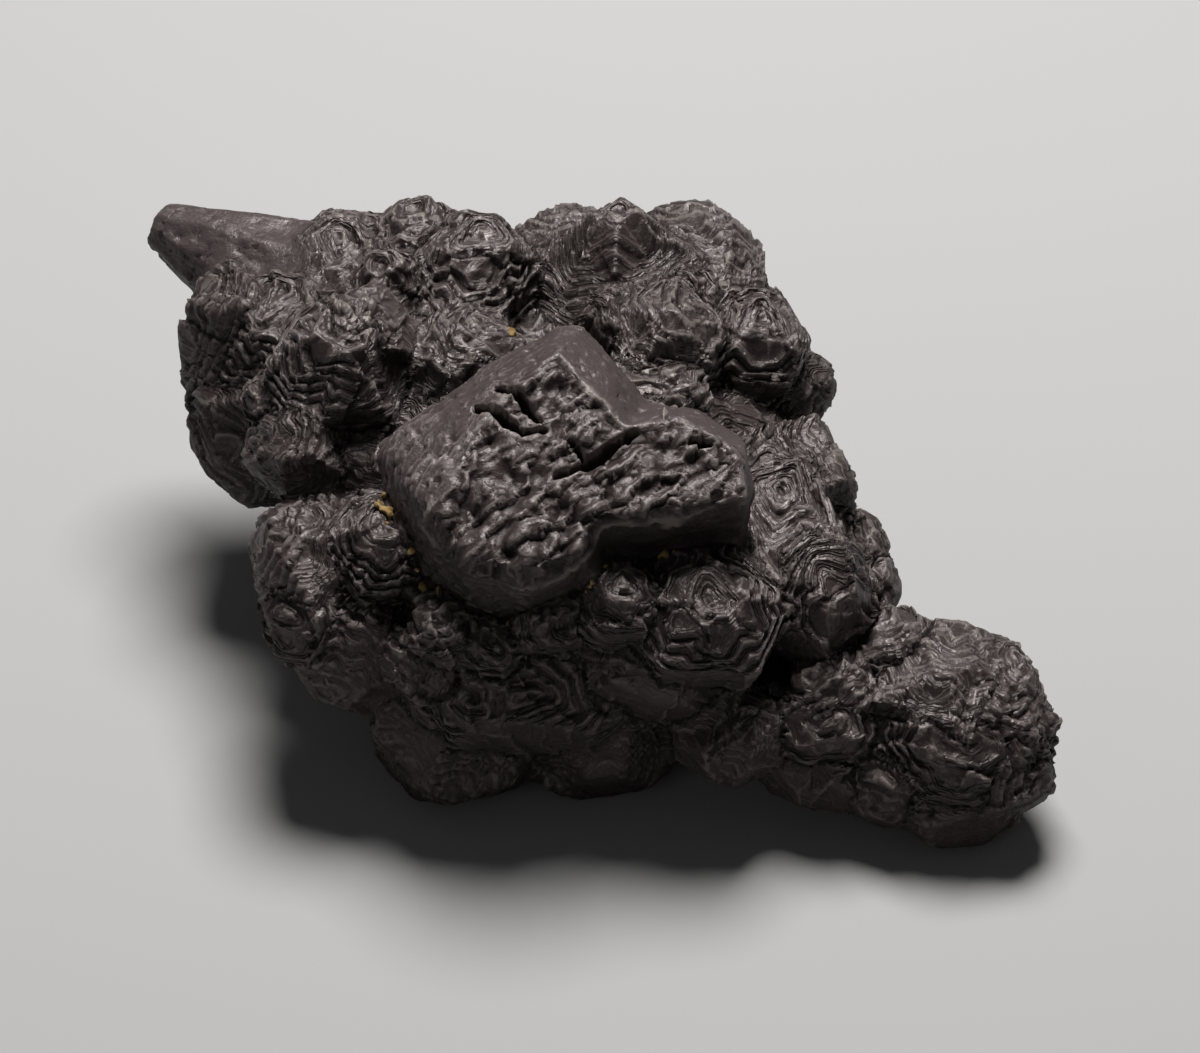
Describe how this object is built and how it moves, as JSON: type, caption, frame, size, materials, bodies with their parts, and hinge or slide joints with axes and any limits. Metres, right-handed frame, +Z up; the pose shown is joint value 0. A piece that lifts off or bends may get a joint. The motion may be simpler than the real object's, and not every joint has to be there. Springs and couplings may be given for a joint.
{
  "type": "prophecy stone",
  "caption": "Dark knobbly mineral concretion of intergrown blunt crystal lumps round a star-shaped twin, with a horn and an arm.",
  "frame": {"origin": "on the ground under the middle of the stone's box", "axes": "+Z up, +X along the stone's length towards its arm, -Y towards the side that the star leans to"},
  "size_m": [0.069, 0.048, 0.032],
  "materials": {
    "iron_oxide": "satin",
    "ochre_clay": "matte"
  },
  "bodies": {
    "root": {"stone": "iron_oxide"}
  },
  "joints": []
}
